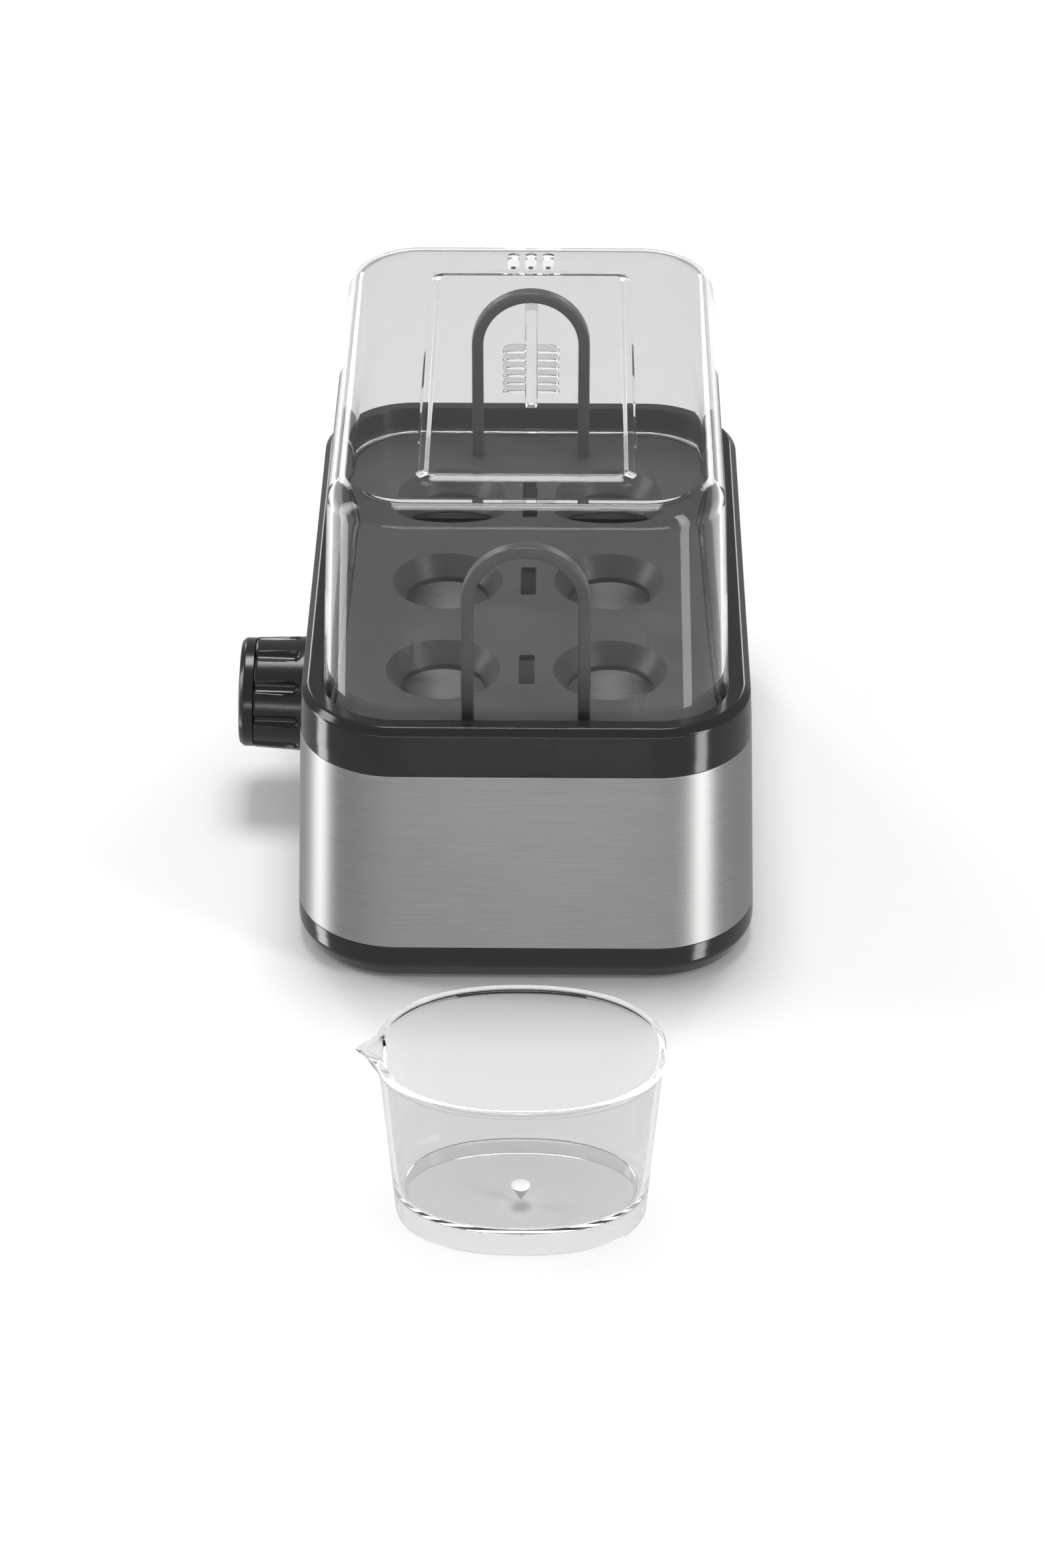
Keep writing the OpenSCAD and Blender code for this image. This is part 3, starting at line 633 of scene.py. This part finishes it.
def makeGland():
    low, high = boxOf("cord_gland")
    radius = (high.x - low.x) / 2
    bore = frameBore("cord_entry")
    length = high.y - low.y
    neck = radius - 1.3
    path = soften([(bore, 0, 0.5), (radius - 0.3, 0, 0.7), (radius, glandSet["flange"], 0.5),
                   (neck, glandSet["flange"], 0.2), (neck, length, 0.5), (bore, length, 0.4)])
    place = at(0, high.y, middle("cord_gland").z) @ Matrix.Rotation(pi / 2, 4, "X")
    gland = turned("cordGland", path, 72, closed=True, matrix=place)
    return fit(gland, "housing", "black_rubber", "cord_gland")


def frameBore(name):  # radius of a round mount, in millimetres
    mount = next(m for m in frame["record"]["mounts"] if m["name"] == name)
    return mount.get("radius_m", 0.0034) / mm


# ---- bowl

def makeGasket():
    low, high = boxOf("bowl_gasket")
    width, bead = rimSet["ledgeWidth"] - 0.7, 0.25
    path = soften([(0, low.z, 0.3), (0, high.z, 0.3), (width * 0.45, high.z - bead, 0.3),
                   (width, high.z, 0.3), (width, low.z, 0.3)])
    radius = rimSet["openingRadius"] - rimSet["grooveWidth"] - 0.2
    rings = [plan(high.x - i, high.y - i, radius - i, z) for i, z in path]
    gasket = solid("bowlGasket", rings, closed=True)
    return fit(gasket, "housing", "grey_silicone", "bowl_gasket")


bowlSet = {"flange": 5.5, "sheet": 0.8, "bend": 1.6, "drawn": 5, "spread": 0.2}


def makeBowl():
    s = bowlSet
    low, high = boxOf("water_bowl")
    radius = rimSet["openingRadius"] - rimSet["grooveWidth"] - 0.4
    t, f = s["sheet"], s["flange"]
    path = soften([(f + 12, low.z, 0), (f, low.z, s["drawn"]), (f, high.z - t, s["bend"] - t),
                   (0.2, high.z - t, 0.2), (0.2, high.z, 0.2), (f + t, high.z, s["bend"]),
                   (f + t, low.z + t, s["drawn"] - t), (f + 12, low.z + t, 0)], closed=False, steps=8)
    rings = []
    for i, z in path:  # corners stay rounded where the floor narrows
        rings.append(plan(high.x - i + s["spread"], high.y - i + s["spread"], radius - min(i, radius - 4), z))
    bowl = solid("waterBowl", rings)
    return fit(bowl, "housing", "satin_steel", "water_bowl")


# ---- knob

knobSet = {"height": 43.2, "wallRadius": 21, "capRadius": 20, "from": 1.0, "to": 20.7, "grooves": 10,
           "grooveRadius": 2.5, "grooveOut": 1.3, "grooveStart": 6.5, "shell": 2.6, "hub": 6, "shaft": 3.02,
           "capTo": 26.8, "capEdge": 1.8, "capDome": 0.9, "lip": 0.28}


def grooved(nominal, z, angle):  # the grip's radius at one place, with its finger grooves
    s = knobSet
    pitch = 2 * pi / s["grooves"]
    off = (angle / pitch) % 1 - 0.5
    centre = s["capRadius"] + s["grooveOut"]
    back = max(0, s["grooveStart"] - z)
    reach = s["grooveRadius"] ** 2 - back ** 2
    side = centre * sin(off * pitch)
    if reach <= side ** 2:
        return nominal
    cut = centre * cos(off * pitch) - sqrt(reach - side ** 2)
    gap = nominal - cut
    blend = s["lip"]
    if gap > blend:
        return nominal - gap
    if gap > -blend:  # a groove's edge is rounded off
        return nominal - max(0, (gap + blend) ** 2 / (4 * blend))
    return nominal


def makeKnob():
    s = knobSet
    count = 360
    rings = []
    rows = [s["from"] + 0.3 * (1 - cos(i * pi / 8)) for i in range(4)]
    rows += [1.6 + i * 0.28 for i in range(26)] + [9 + i * (s["to"] - 9.4) / 12 for i in range(13)]
    for z in rows:
        lead = min(1, (z - s["from"]) / 0.6)
        along = (s["capRadius"] - s["wallRadius"]) * (z - s["from"]) / (s["to"] - s["from"])
        nominal = s["wallRadius"] + along
        nominal -= 0.35 * (1 - sqrt(max(0, 1 - (1 - lead) ** 2)))
        rings.append([Vector((r * cos(a), r * sin(a), z)) for a, r in
                      ((a, grooved(nominal, z, a)) for a in (2 * pi * i / count for i in range(count)))])
    top = rows[-1] + 0.3
    closing = [Vector((p.x * 0.985, p.y * 0.985, top)) for p in rings[-1]]
    rings.append(closing)
    inner = soften([(s["hub"] - 1, top, 0), (s["shaft"], top - 0.2, 0), (s["shaft"], s["from"] + 3.5, 0.2),
                    (s["hub"], s["from"] + 3.5, 0.2), (s["hub"], s["to"] - 2, 0.5),
                    (s["capRadius"] - s["shell"], s["to"] - 2, 0.5),
                    (s["wallRadius"] - s["shell"], s["from"], 0.2)], closed=False, steps=3)
    rings += [circle(r, z, count) for r, z in inner]
    grip = solid("knobGrip", rings, closed=True, matrix=knobPlace(), sharp=55)
    fit(grip, "knob", "gloss_black_plastic", "knob_grip", finish=knobFinish)

    edge, dome, r = s["capEdge"], s["capDome"], s["capRadius"]
    rim = s["capTo"] - dome
    path = [(0.5, s["to"] + 0.1, 0), (r - 0.1, s["to"] + 0.1, 0.25), (r - 0.15, rim - edge * 0.9, 1.2)]
    path += [(r - 1.4, rim - 0.1, 1.0), (r - 2.6, rim + 0.12, 0.3)]
    points = soften(path, closed=False, steps=6)
    for u in (0.96, 0.9, 0.8, 0.65, 0.5, 0.35, 0.2, 0.06):  # shallow dome in to the middle
        points.append(Vector(((r - 3) * u, s["capTo"] - dome * u * u)))
    cap = turned("knobCap", points, 144, matrix=knobPlace())
    fit(cap, "knob", "gloss_black_plastic", "knob_cap", finish=knobFinish)


# ---- rack

traySet = {"pitch": (58.4, 61.9), "plate": 2.2, "hole": 15, "seat": 20, "seatDepth": 9, "wall": 2,
           "edge": 0.7, "slot": (2.75, 9.9), "tenon": (1.75, 2.25)}
handleSet = {"width": 44, "thick": 4.3, "deep": 5.3, "round": 1.1, "tenon": (3.3, 4.3)}


def makeTray():
    s = traySet
    high = boxOf("egg_tray")[1]
    top, plate = high.z, s["plate"]
    radius = rimSet["openingRadius"] - rimSet["grooveWidth"] - 0.3
    path = soften([(3, top - plate, 0), (0, top - plate, s["edge"]), (0, top, s["edge"]), (3, top, 0)],
                  closed=False)
    tray = solid("eggTray", [plan(high.x - i, high.y - i, radius - i, z) for i, z in path])
    px, py = s["pitch"]
    seats = [(sx * px / 2, row * py) for sx in (-1, 1) for row in (-1, 0, 1)]
    foot = top - s["seatDepth"]
    r, h, w = s["seat"], s["hole"], s["wall"]
    cone = soften([(h + 0.5, foot, 0), (r - 3, foot, 1), (r + 1.6, top - plate + 0.3, 0),
                   (r + 1.6, top - 0.4, 0)], closed=False)
    carve(tray, [turned("seatBody", cone, 96, matrix=at(*p)) for p in seats], "UNION")
    scoop = soften([(h, foot - 1, 0), (h, foot + w, 1.2), (r, top, 0.9), (r + 1.1, top + 0.8, 0)],
                   closed=False, steps=6)
    holes = [turned("seatScoop", scoop, 96, matrix=at(*p)) for p in seats]
    for row in (-1, 0, 1):
        slot = [plan(*s["slot"], 0.8, z, centreY=row * py, corner=5) for z in (foot, top + 2)]
        holes.append(solid("slot", slot))
    for sx in (-1, 1):
        for node in ("front_handle", "rear_handle"):
            x = sx * (handleSet["width"] - handleSet["thick"]) / 2
            ring = [plan(*s["tenon"], 0.2, z, corner=2) for z in (foot, top + 2)]
            holes.append(solid("tenonHole", ring, matrix=at(x, middle(node).y)))
    carve(tray, holes)
    return fit(tray, "rack", "dark_grey_plastic", "egg_tray")


def makeHandle(name, node):
    s = handleSet
    low, high = boxOf(node)
    y = middle(node).y
    trayTop = boxOf("egg_tray")[1].z
    bend = s["width"] / 2 - s["thick"] / 2
    crown = high.z - s["width"] / 2
    section = [(p.x - s["thick"] / 2, p.y - s["deep"] / 2) for p in soften(
        [(0, 0, s["round"]), (s["thick"], 0, s["round"]), (s["thick"], s["deep"], s["round"]),
         (0, s["deep"], s["round"])], steps=4)]
    small = s["tenon"][0] / s["thick"], s["tenon"][1] / s["deep"]

    def across(centre, outward, shrink=(1, 1)):
        return [centre + outward * (u * shrink[0]) + Vector((0, v * shrink[1], 0)) for u, v in section]

    rings = []
    left, right = Vector((-1, 0, 0)), Vector((1, 0, 0))
    # heights up a leg, each with the section's scale: a tenon in the tray, then the full section
    stations = [(low.z, small), (trayTop - 0.01, small), (trayTop + 0.01, (0.9, 0.9))]
    stations += [(trayTop + 0.25, (1, 1)), (trayTop + 4, (1, 1)), (crown - 3, (1, 1))]
    for z, shrink in stations:
        rings.append(across(Vector((-bend, y, z)), left, shrink))
    for i in range(33):
        a = pi - pi * i / 32
        out = Vector((cos(a), 0, sin(a)))
        rings.append(across(Vector((0, y, crown)) + out * bend, out))
    for z, shrink in reversed(stations):
        rings.append(across(Vector((bend, y, z)), right, shrink))
    return fit(solid(name, rings), "rack", "dark_grey_plastic", node)


# ---- lid

lidLow, lidHigh = boxOf("lid")
lidSet = {"radius": 27, "draft": 2.2, "frontTop": 180.3, "rearTop": 174.3, "edge": 9.3, "wall": 2.2,
          "panel": (37, -88, 81), "panelRadius": 6, "panelHeight": 1.2, "panelSlope": 3, "ventWidth": 4.2,
          "ventPitch": 6.4, "ventY": (85, 97), "fins": 6, "finLow": 108.6, "finPitch": 3.38,
          "fin": (21.5, 6.3, 1.1), "finCorner": 4, "spine": (4.7, 102, 144)}


def lidSlope():
    return (lidSet["frontTop"] - lidSet["rearTop"]) / (-2 * lidLow.y - 10)


def lidSkin(t, low):  # levels of the lid's outer surface, or of its inner one at wall thickness t
    s = lidSet
    slope = lidSlope()
    straight = rimHigh.z
    mid = (s["frontTop"] + s["rearTop"]) / 2
    shoulder = mid - s["edge"]
    lean = (shoulder - straight) * tan(radians(s["draft"]))
    halfX, halfY, r = lidHigh.x - t, -lidLow.y - t, s["edge"] - t
    rings = [plan(halfX, halfY, s["radius"] - t, z, corner=24) for z in low + [straight - 1]]
    for k in range(1, 7):  # the walls take up the slope of the top as they rise
        f = k / 6
        z = straight + (shoulder - straight) * f
        rings.append(plan(halfX - lean * f, halfY - lean * f, s["radius"] - t, z, slope * f, corner=24))
    for k in range(1, 13):
        a = k * pi / 24
        i = lean + r * (1 - cos(a))
        corner = s["radius"] - t - r * (1 - cos(a))
        rings.append(plan(halfX - i, halfY - i, corner, shoulder + r * sin(a), slope, corner=24))
    halfW, front, rear = s["panel"]
    centre, halfL = (front + rear) / 2, (rear - front) / 2
    flat = mid - t
    run, lift = s["panelSlope"], s["panelHeight"]
    rise = [(-0.8, 0, 0), (0, 0, 0.9), (run, lift, 0.9), (run + 2, lift, 0)]
    for inset, up in soften(rise, closed=False, steps=5):
        inset += t * 0.6
        radius = max(1.5, s["panelRadius"] - inset)
        rings.append(plan(halfW - inset, halfL - inset, radius, flat + up, slope, centre, corner=24))
    return rings


def finOutline(width, depth, radius, z, steps=14):
    half = width / 2
    radius = min(radius, half, depth)
    ring = [Vector((-half, 0, z)), Vector((half, 0, z))]
    ring += [Vector((half - radius + radius * cos(a), depth - radius + radius * sin(a), z))
             for a in (i * pi / 2 / steps for i in range(steps + 1))]
    ring += [Vector((-half + radius - radius * sin(a), depth - radius + radius * cos(a), z))
             for a in (i * pi / 2 / steps for i in range(steps + 1))]
    return ring


def makeLid():
    s = lidSet
    t, low = s["wall"], lidLow.z
    outer = lidSkin(0, [low + 0.5])
    inner = lidSkin(t, [low + 0.5])
    foot = [plan(lidHigh.x - i, -lidLow.y - i, s["radius"] - i, z, corner=24)
            for i, z in ((t - 0.15, low + 0.15), (t - 0.5, low), (0.5, low), (0.15, low + 0.15))]
    lid = solid("lid", inner[::-1] + foot + outer, sharp=50)

    width, depth, thick = s["fin"]
    rear = -lidLow.y - 1.2
    lean = (s["finLow"] - rimHigh.z + s["fins"] * s["finPitch"] / 2) * tan(radians(s["draft"]))
    place = at(0, rear - lean)
    added = []
    for i in range(s["fins"]):
        z = s["finLow"] + i * s["finPitch"]
        # rounded edges: how far the outline draws in, and how high
        levels = [(0.3, 0), (0.08, 0.08), (0, 0.3), (0, thick - 0.3), (0.08, thick - 0.08), (0.3, thick)]
        fin = [finOutline(width - 2 * d, depth + 0.4 - d, s["finCorner"], z + up) for d, up in levels]
        added.append(solid("fin", fin, matrix=place))
    half, spineLow, spineHigh = s["spine"][0] / 2, s["spine"][1], s["spine"][2]
    deep = (depth + 1.0) / 2
    levels = [(1.2, spineLow), (0.35, spineLow + 0.35), (0, spineLow + 1.2), (0, spineHigh - 1.2),
              (0.35, spineHigh - 0.35), (1.2, spineHigh)]
    added.append(solid("spine", [plan(half - d, deep - d / 2, 1.1, z, centreY=deep - d / 2, corner=6)
                                 for d, z in levels], matrix=place))
    carve(lid, added, "UNION", sharp=50)
    vents = []
    for i in (-1, 0, 1):
        y0, y1 = s["ventY"]
        half, levels = s["ventWidth"] / 2, (s["rearTop"] - 12, s["frontTop"] + 8)
        ring = [plan(half, (y1 - y0) / 2, half - 0.01, z, centreY=(y0 + y1) / 2, corner=10) for z in levels]
        vents.append(solid("vent", ring, matrix=at(i * s["ventPitch"])))
    carve(lid, vents, sharp=50)
    return fit(lid, "lid", "clear_plastic", "lid")


# ---- measuring cup

cupSet = {"height": 62, "mouth": (91, 69), "foot": (81, 55), "wall": 1.8, "floor": 9.2, "power": 2.25,
          "bead": 1.0, "beadHeight": 2.4, "spout": 6.5, "spoutDrop": 15, "spoutHalf": 12, "points": 240,
          "underFillet": 2.5, "innerFillet": 3.5}


def cupRing(z, inset, bead=0.0, spout=True):
    s = cupSet
    f = z / s["height"]
    halfX, halfY = ((s["foot"][k] + (s["mouth"][k] - s["foot"][k]) * f) / 2 - inset + bead for k in (0, 1))
    drop = max(0, (z - s["height"] + s["spoutDrop"]) / s["spoutDrop"]) if spout else 0
    tip = halfX - 2 + (s["spout"] + 2 - max(0, inset) * 0.6) * drop
    shoulderX, shoulderY = halfX - 5, s["spoutHalf"]
    ring = []
    for i in range(s["points"]):
        a = 2 * pi * i / s["points"]
        x = copysign(halfX * abs(cos(a)) ** (2 / s["power"]), cos(a))
        y = copysign(halfY * abs(sin(a)) ** (2 / s["power"]), sin(a))
        if x < 0 and drop > 0:  # straight sides that run out to the spout's tip
            away = hypot(x, y)
            ux, uy = -x / away, abs(y) / away
            reach = tip * shoulderY / (ux * shoulderY + uy * (tip - shoulderX))
            if reach > away and uy * reach < shoulderY:
                x, y = -ux * reach, copysign(uy * reach, y)
        ring.append(Vector((x, y, z)))
    return ring


def makeCup():
    s = cupSet
    top, t, under = s["height"], s["wall"], s["underFillet"]
    rings = [cupRing(s["floor"] - t, 12, spout=False)]
    for i in range(8):  # outer fillet under the floor
        a = pi / 2 - i * pi / 14
        rings.append(cupRing(s["floor"] - t - under * (1 - sin(a)), t + under * (1 - cos(a)), spout=False))
    foot = [(t, 1), (t - 0.2, 0.25), (t - 0.6, 0), (0.6, 0), (0.2, 0.25), (0, 0.9)]  # inset, height
    rings += [cupRing(z, i, spout=False) for i, z in foot]
    # levels up the wall, closer together where the spout runs out
    rings += [cupRing(z, 0) for z in (6, 14, 24, 34, 42, 46.9, 48, 50, 52, 54, 56)]
    rings.append(cupRing(top - s["beadHeight"] - 0.8, 0))
    for i in range(9):  # rolled rim
        a = -pi / 2 + i * pi / 8
        z = top - s["beadHeight"] / 2 + s["beadHeight"] / 2 * sin(a)
        if a < 0:
            out = s["bead"] * (0.25 + 0.75 * cos(a))
        else:
            out = s["bead"] * cos(a) ** 0.7 - (1 - cos(a)) * 0.5
        rings.append(cupRing(min(z, top), 0, out))
    rings += [cupRing(top - 0.02, t - 0.55), cupRing(top - 0.3, t - 0.15)]
    rings += [cupRing(z, t) for z in (top - 1.2, 58, 56, 54, 52, 50, 48, 46.9, 42, 34, 24, 16)]
    inner = s["innerFillet"]
    for i in range(1, 8):  # inner fillet down to the floor
        a = i * pi / 14
        rings.append(cupRing(s["floor"] + inner * (1 - sin(a)), t + inner * (1 - cos(a)), spout=False))
    rings.append(cupRing(s["floor"], 14, spout=False))
    cup = solid("measuringCup", rings, matrix=at(0, cupMiddle()), sharp=50)
    return fit(cup, "cup", "clear_plastic", "measuring_cup", finish=cupFinish)


def cupMiddle():
    low, high = boxOf("piercing_pin")
    return (low.y + high.y) / 2


def makePin():
    low, high = boxOf("piercing_pin")
    radius = (high.x - low.x) / 2
    path = soften([(0.12, low.z, 0), (radius - 0.5, high.z - 0.9, 0.5), (radius, high.z, 0.1),
                   (0.4, high.z, 0)], closed=False)
    pin = turned("piercingPin", path, 64, matrix=at(0, cupMiddle()))
    return fit(pin, "cup", "polished_steel", "piercing_pin")


# ---- the whole model

def addStage():
    finish = Finish("paleFloor", specularIorLevel=0.2)
    cloud = finish.noise(1.3, 2)
    finish.set("baseColor", finish.blend(cloud, (0.93, 0.93, 0.93), (0.95, 0.95, 0.95)))
    finish.set("roughness", 0.7 + cloud * 0.1)
    half = stageSet["floor"] / 2 / mm
    floor = solid("floor", [plan(half, half, 10, z, corner=2) for z in (-20, 0)])
    floor.data.materials.append(finish.material)
    floor.visible_glossy = False  # gloss shows the lamps and a grey ground, as over a table's edge
    world = bpy.data.worlds.new("studio")
    world.use_nodes = True
    tree = world.node_tree
    sky = Wire(tree, tree.nodes.new("ShaderNodeTexCoord").outputs["Generated"])
    split = tree.nodes.new("ShaderNodeSeparateXYZ")
    join(tree, split.inputs[0], sky)
    height = Wire(tree, split.outputs["Z"])
    lift = height / stageSet["turn"] + 0.5
    lift = lift.sum("MINIMUM", lift.sum("MAXIMUM", lift, 0.0), 1.0)
    bright = stageSet["ground"] + lift * (stageSet["sky"] - stageSet["ground"])
    join(tree, tree.nodes["Background"].inputs["Strength"], bright)
    tree.nodes["Background"].inputs["Color"].default_value = (1, 1, 1, 1)
    bpy.context.scene.world = world
    bpy.context.scene.view_settings.view_transform = "Standard"
    cycles = bpy.context.scene.cycles  # light passes many clear walls
    cycles.max_bounces = stageSet["bounces"]
    cycles.transmission_bounces = stageSet["bounces"]
    cycles.glossy_bounces = stageSet["bounces"]


def dressNodes():  # CAD nodes that stay take their finish from the record's slots
    slots = {part["node"]: part["material_slot"] for part in frame["record"]["subparts"]}
    for node, shown in frame["nodes"].items():
        if shown.hide_render:
            continue
        shown.data.materials.clear()
        shown.data.materials.append(finishes[slots[node]].material)
        print("kept", node, "in", slots[node])


addCamera()
addLamps()
addStage()
print("camera, lamps and floor set")
makeSteelBand()
makeRim()
makePan()
for node in feet:
    makeFoot(node)
makeScrews()
makeGland()
makeGasket()
makeBowl()
print("housing made")
makeKnob()
print("knob made")
makeTray()
makeHandle("frontHandle", "front_handle")
makeHandle("rearHandle", "rear_handle")
print("rack made")
makeLid()
print("lid made")
makeCup()
makePin()
print("cup made")
dressNodes()
